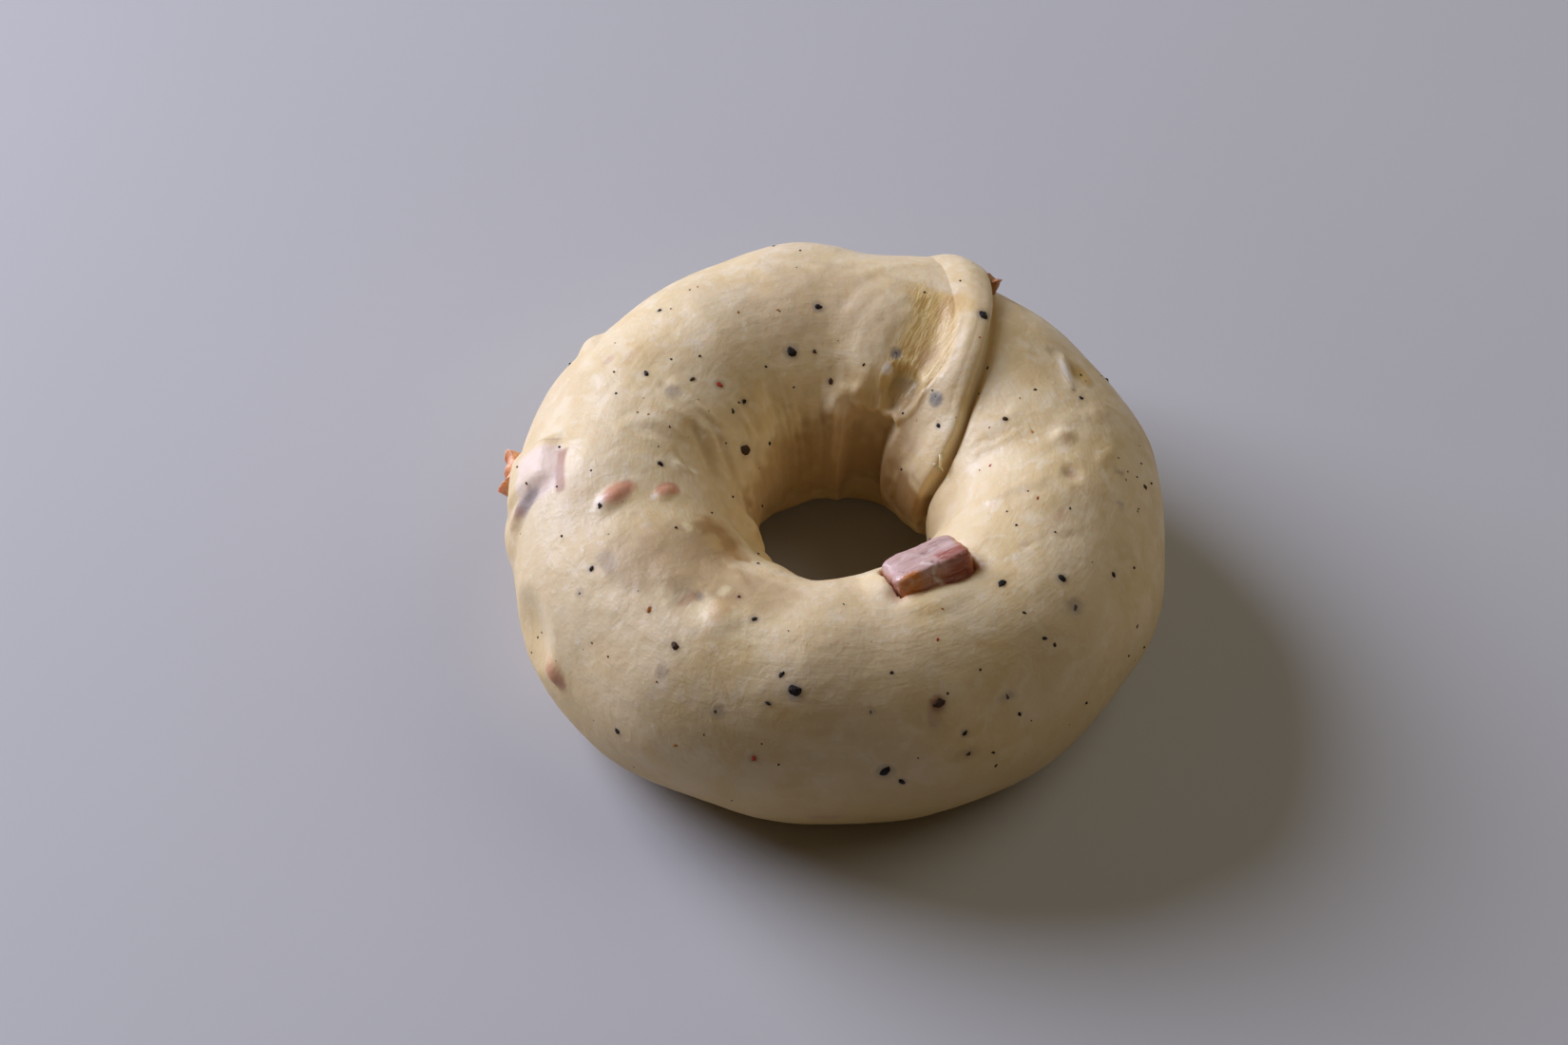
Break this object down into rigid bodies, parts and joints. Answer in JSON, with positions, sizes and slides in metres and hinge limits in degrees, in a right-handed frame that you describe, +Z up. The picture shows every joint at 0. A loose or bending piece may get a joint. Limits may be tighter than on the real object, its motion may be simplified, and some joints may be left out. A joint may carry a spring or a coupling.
{
  "type": "unbaked bagel",
  "caption": "Hand-shaped ring of raw bagel dough lying flat, its end wrapped over its start, with diced bacon and cracked pepper in it.",
  "frame": {"origin": "middle of the whole footprint, on the surface that the ring lies on", "axes": "+Z up through the hole; +X to the right and +Y away as the picture looks at the ring; the wrapped end is at the far right"},
  "size_m": [0.0912, 0.0888, 0.0354],
  "materials": {
    "dough": "satin, slightly moist and translucent skin",
    "bacon": "moist cured meat",
    "rind": "moist smoked rind and fat",
    "pepper": "dry cracked pepper"
  },
  "bodies": {
    "root": {"dough": "dough", "bacon_dice_rim": "bacon", "bacon_rind_left": "rind", "bacon_bit_seam": "rind"}
  },
  "joints": []
}
